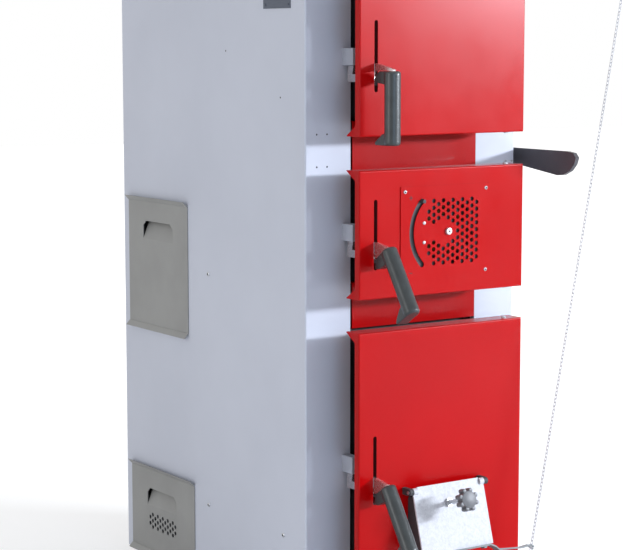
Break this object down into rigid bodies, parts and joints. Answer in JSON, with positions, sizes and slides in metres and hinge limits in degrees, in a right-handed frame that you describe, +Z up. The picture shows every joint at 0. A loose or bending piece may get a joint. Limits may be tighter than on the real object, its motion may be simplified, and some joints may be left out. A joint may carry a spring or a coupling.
{
  "type": "solid fuel boiler",
  "caption": "Tall steel heating boiler with stacked red doors, black handles, air rosette, chain-lifted air flap, side lever and service covers.",
  "frame": {"origin": "on the floor under the middle of the casing", "axes": "+X right along the front, +Y into the boiler, +Z up"},
  "size_m": [0.6331, 0.9649, 1.18],
  "materials": {
    "casing_paint": "semi-gloss powder coat",
    "red_gloss": "gloss powder coat",
    "dark_steel": "matt heat-resistant paint",
    "cast_grate": "rough as cast",
    "insulation_wool": "mineral wool and fibre board",
    "rope": "braided glass rope",
    "latch_steel": "rolled steel",
    "grip_plastic": "fine texture",
    "bright_steel": "zinc plated",
    "catch_paint": "semi-gloss",
    "flap_white": "zinc-white",
    "knob_grey": "moulded",
    "lever_dark": "satin",
    "plate_dark": "bare, satin",
    "regulator_brass": "plated",
    "cover_grey": "satin powder coat"
  },
  "bodies": {
    "boiler": {"base_frame": "dark_steel", "front_plate": "dark_steel", "outer_jacket": "dark_steel", "firebox": "dark_steel", "fire_grate": "cast_grate", "flue_baffle": "dark_steel", "insulation": "insulation_wool", "side_panel_left": "casing_paint", "side_panel_right": "casing_paint", "top_cover": "casing_paint", "rear_panel": "casing_paint", "front_casing": "casing_paint", "cross_piece_upper": "red_gloss", "cross_piece_lower": "red_gloss", "hinge_lugs": "dark_steel", "hinge_pins": "bright_steel", "latch_catches": "catch_paint", "name_plate": "plate_dark", "casing_screws": "bright_steel", "cleaning_hatches": "dark_steel", "flue_collar": "dark_steel", "boiler_sockets": "dark_steel", "regulator_body": "regulator_brass", "ash_pan": "dark_steel"},
    "loading_door": {"loading_cover": "red_gloss", "loading_inner": "dark_steel", "loading_pad": "insulation_wool", "loading_seal": "rope"},
    "loading_handle": {"loading_arm": "latch_steel", "loading_grip": "grip_plastic"},
    "stoking_door": {"stoking_cover": "red_gloss", "stoking_inner": "dark_steel", "stoking_pad": "insulation_wool", "stoking_seal": "rope", "rosette_plate": "red_gloss", "rosette_screws": "bright_steel"},
    "stoking_handle": {"stoking_arm": "latch_steel", "stoking_grip": "grip_plastic"},
    "ash_door": {"ash_cover": "red_gloss", "ash_inner": "dark_steel", "ash_pad": "insulation_wool", "ash_seal": "rope", "flap_duct": "dark_steel", "flap_pin": "bright_steel"},
    "ash_handle": {"ash_arm": "latch_steel", "ash_grip": "grip_plastic"},
    "rosette": {"rosette_disc": "dark_steel"},
    "air_flap": {"flap_plate": "flap_white", "flap_stud": "bright_steel", "chain_arm": "latch_steel"},
    "star_knob": {"star_knob": "knob_grey"},
    "regulator_rod": {"regulator_rod": "bright_steel"},
    "chain_hanger": {"chain_hanger": "bright_steel"},
    "chain": {"chain": "bright_steel"},
    "regulator_knob": {"regulator_knob": "knob_grey"},
    "start_lever": {"bypass_lever": "lever_dark", "bypass_flap": "dark_steel"},
    "flue_damper": {"flue_damper": "dark_steel"},
    "upper_service_cover": {"service_cover_upper": "cover_grey"},
    "lower_service_cover": {"service_cover_lower": "cover_grey"}
  },
  "joints": [
    {"name": "loading_door_hinge", "type": "hinge", "parent": "boiler", "child": "loading_door", "pos_m": [0.147, -0.391, 1.127], "axis": [0, 0, 1], "range_deg": [0, 95]},
    {"name": "stoking_door_hinge", "type": "hinge", "parent": "boiler", "child": "stoking_door", "pos_m": [0.147, -0.391, 0.807], "axis": [0, 0, 1], "range_deg": [0, 95]},
    {"name": "ash_door_hinge", "type": "hinge", "parent": "boiler", "child": "ash_door", "pos_m": [0.147, -0.391, 0.536], "axis": [0, 0, 1], "range_deg": [0, 95]},
    {"name": "loading_handle_turn", "type": "hinge", "parent": "loading_door", "child": "loading_handle", "pos_m": [-0.1416, -0.395, 0.959], "axis": [-1, 0, 0], "range_deg": [-4, 45]},
    {"name": "stoking_handle_turn", "type": "hinge", "parent": "stoking_door", "child": "stoking_handle", "pos_m": [-0.1416, -0.395, 0.6635], "axis": [-1, 0, 0], "range_deg": [-4, 45]},
    {"name": "ash_handle_turn", "type": "hinge", "parent": "ash_door", "child": "ash_handle", "pos_m": [-0.1416, -0.395, 0.264], "axis": [-1, 0, 0], "range_deg": [-4, 45]},
    {"name": "rosette_turn", "type": "hinge", "parent": "stoking_door", "child": "rosette", "pos_m": [0.0091, -0.404, 0.6981], "axis": [0, -1, 0], "range_deg": [0, 84]},
    {"name": "air_flap_hinge", "type": "hinge", "parent": "ash_door", "child": "air_flap", "pos_m": [0, -0.424, 0.258], "axis": [-1, 0, 0], "range_deg": [0, 25]},
    {"name": "star_knob_turn", "type": "hinge", "parent": "air_flap", "child": "star_knob", "pos_m": [-0.005, -0.433, 0.2325], "axis": [0, -0.9603, 0.279], "continuous": true},
    {"name": "regulator_rod_lift", "type": "hinge", "parent": "boiler", "child": "regulator_rod", "pos_m": [0.354, -0.25, 1.13], "axis": [-1, 0, 0], "range_deg": [0, 7.5]},
    {"name": "hanger_swing", "type": "hinge", "parent": "regulator_rod", "child": "chain_hanger", "pos_m": [0.354, -0.46, 1.13], "axis": [-1, 0, 0], "range_deg": [-4.5, 0]},
    {"name": "chain_swing", "type": "hinge", "parent": "chain_hanger", "child": "chain", "pos_m": [0.354, -0.46, 1.126], "axis": [0, -1, 0], "range_deg": [0, 11.2]},
    {"name": "regulator_knob_turn", "type": "hinge", "parent": "boiler", "child": "regulator_knob", "pos_m": [0.38, -0.25, 1.13], "axis": [1, 0, 0], "range_deg": [-150, 150]},
    {"name": "start_lever_turn", "type": "hinge", "parent": "boiler", "child": "start_lever", "pos_m": [0, -0.225, 0.819], "axis": [-1, 0, 0], "range_deg": [0, 65]},
    {"name": "flue_damper_turn", "type": "hinge", "parent": "boiler", "child": "flue_damper", "pos_m": [0, 0.366, 0.98], "axis": [1, 0, 0], "range_deg": [0, 90]},
    {"name": "upper_service_cover_pull", "type": "slide", "parent": "boiler", "child": "upper_service_cover", "axis": [-1, 0, 0], "range_m": [0, 0.12]},
    {"name": "lower_service_cover_pull", "type": "slide", "parent": "boiler", "child": "lower_service_cover", "axis": [-1, 0, 0], "range_m": [0, 0.12]}
  ],
  "couplings": [
    {"joint": "regulator_rod_lift", "follows": "air_flap_hinge", "ratio": 0.272},
    {"joint": "hanger_swing", "follows": "air_flap_hinge", "ratio": -0.158},
    {"joint": "chain_swing", "follows": "ash_door_hinge", "ratio": 0.117}
  ]
}
